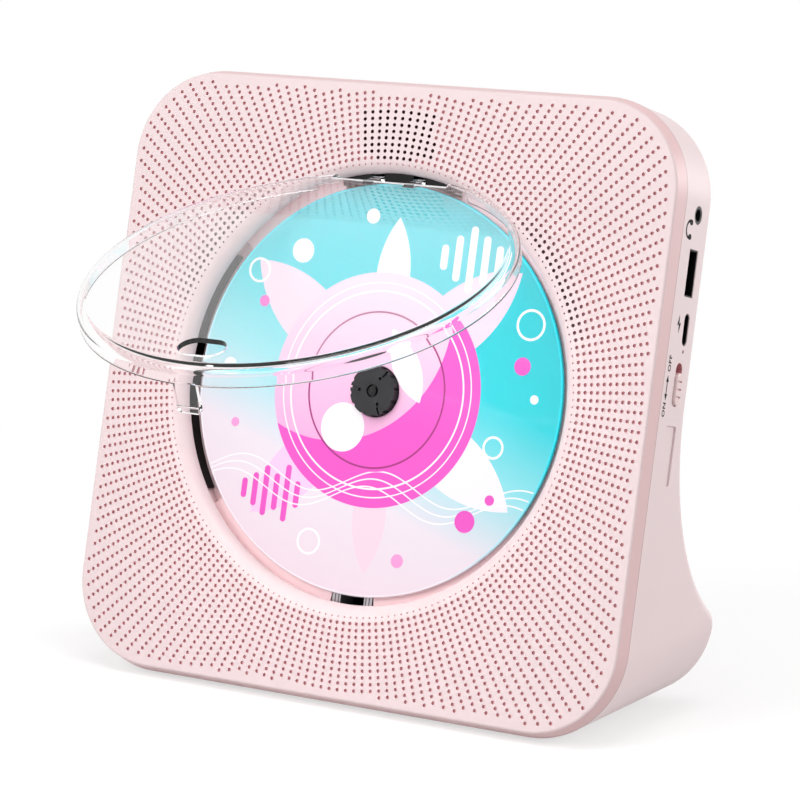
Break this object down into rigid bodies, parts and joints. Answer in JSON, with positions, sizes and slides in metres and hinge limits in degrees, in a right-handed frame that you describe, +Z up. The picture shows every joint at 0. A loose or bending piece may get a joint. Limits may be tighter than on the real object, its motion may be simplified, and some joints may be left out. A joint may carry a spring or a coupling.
{
  "type": "desktop cd player",
  "caption": "Desktop disc player standing on a flared foot, with a round perforated-face disc bay, clear swing-up lid, side sockets and side buttons.",
  "frame": {"origin": "middle of the foot's footprint, on the plane of the rubber feet's undersides", "axes": "+Z up, -Y out of the front face (which leans back 10.8 degrees), +X towards the side with the sockets"},
  "size_m": [0.1819, 0.1561, 0.1794],
  "materials": {
    "case_pink": "fine satin",
    "button_pink": "satin",
    "lid_clear": "clear, polished",
    "disc_print": "printed polycarbonate",
    "lens_clear": "clear",
    "black_plastic": "satin",
    "display_black": "smooth",
    "black_rubber": "matt",
    "steel": "plated",
    "plated_steel": "nickel plated",
    "board_green": "solder mask",
    "battery_wrap": "wrapped cells"
  },
  "bodies": {
    "case": {"rear_shell": "case_pink", "front_grille": "case_pink", "disc_well": "case_pink", "bay_trim_left": "black_plastic", "bay_trim_right": "black_plastic", "hinge_cover": "black_plastic", "hinge_pins": "steel", "hinge_screws": "steel", "latch_receiver": "black_plastic", "spindle_motor": "steel", "drive_chassis": "steel", "guide_rods": "steel", "sled_motor": "steel", "damper_grommets": "black_rubber", "drive_screws": "steel", "well_screws": "steel", "speaker_left": "black_plastic", "speaker_right": "black_plastic", "display_module": "display_black", "main_board": "board_green", "board_screws": "steel", "battery_pack": "battery_wrap", "port_board": "board_green", "aux_jack": "black_plastic", "usb_a_socket": "plated_steel", "usb_c_socket": "plated_steel", "charge_light": "lens_clear", "power_switch": "black_plastic", "button_board": "board_green", "base_cover": "case_pink", "rubber_feet": "black_rubber", "case_screws": "steel", "base_screws": "steel"},
    "lid": {"lid": "lid_clear"},
    "spindle": {"spindle_hub": "black_plastic", "spindle_shaft": "steel", "compact_disc": "disc_print"},
    "sled": {"pickup_sled": "black_plastic", "pickup_lens": "lens_clear"},
    "screw": {"lead_screw": "steel"},
    "knob": {"power_knob": "button_pink"},
    "cone_left": {"cone_left": "black_plastic"},
    "cone_right": {"cone_right": "black_plastic"},
    "button_volume_down": {"button_volume_down": "button_pink"},
    "button_volume_up": {"button_volume_up": "button_pink"},
    "button_next": {"button_next": "button_pink"},
    "button_back": {"button_back": "button_pink"},
    "button_play": {"button_play": "button_pink"}
  },
  "joints": [
    {"name": "lid_hinge", "type": "hinge", "parent": "case", "child": "lid", "pos_m": [0, -0.00558, 0.15098], "axis": [1, 0, 0], "range_deg": [0, 58]},
    {"name": "spindle_spin", "type": "hinge", "parent": "case", "child": "spindle", "pos_m": [0, -0.022, 0.0916], "axis": [0, -0.9823, 0.1874], "continuous": true},
    {"name": "sled_slide", "type": "slide", "parent": "case", "child": "sled", "axis": [-1, 0, 0], "range_m": [0, 0.033]},
    {"name": "lead_screw_spin", "type": "hinge", "parent": "case", "child": "screw", "pos_m": [0, -0.0079, 0.06142], "axis": [1, 0, 0], "range_deg": [0, 3960]},
    {"name": "power_slide", "type": "slide", "parent": "case", "child": "knob", "axis": [0, 0.1874, 0.9823], "range_m": [0, 0.0025]},
    {"name": "button_volume_down_press", "type": "slide", "parent": "case", "child": "button_volume_down", "axis": [1, 0, 0], "range_m": [0, 0.0006], "stiffness_N_per_m": 400},
    {"name": "button_volume_up_press", "type": "slide", "parent": "case", "child": "button_volume_up", "axis": [1, 0, 0], "range_m": [0, 0.0006], "stiffness_N_per_m": 400},
    {"name": "button_next_press", "type": "slide", "parent": "case", "child": "button_next", "axis": [1, 0, 0], "range_m": [0, 0.0006], "stiffness_N_per_m": 400},
    {"name": "button_back_press", "type": "slide", "parent": "case", "child": "button_back", "axis": [1, 0, 0], "range_m": [0, 0.0006], "stiffness_N_per_m": 400},
    {"name": "button_play_press", "type": "slide", "parent": "case", "child": "button_play", "axis": [1, 0, 0], "range_m": [0, 0.0006], "stiffness_N_per_m": 400},
    {"name": "cone_left_move", "type": "slide", "parent": "case", "child": "cone_left", "axis": [0, -0.9823, 0.1874], "range_m": [-0.0005, 0.0005], "stiffness_N_per_m": 400},
    {"name": "cone_right_move", "type": "slide", "parent": "case", "child": "cone_right", "axis": [0, -0.9823, 0.1874], "range_m": [-0.0005, 0.0005], "stiffness_N_per_m": 400}
  ],
  "couplings": [
    {"joint": "lead_screw_spin", "follows": "sled_slide", "rad_per_m": 2094.4}
  ]
}
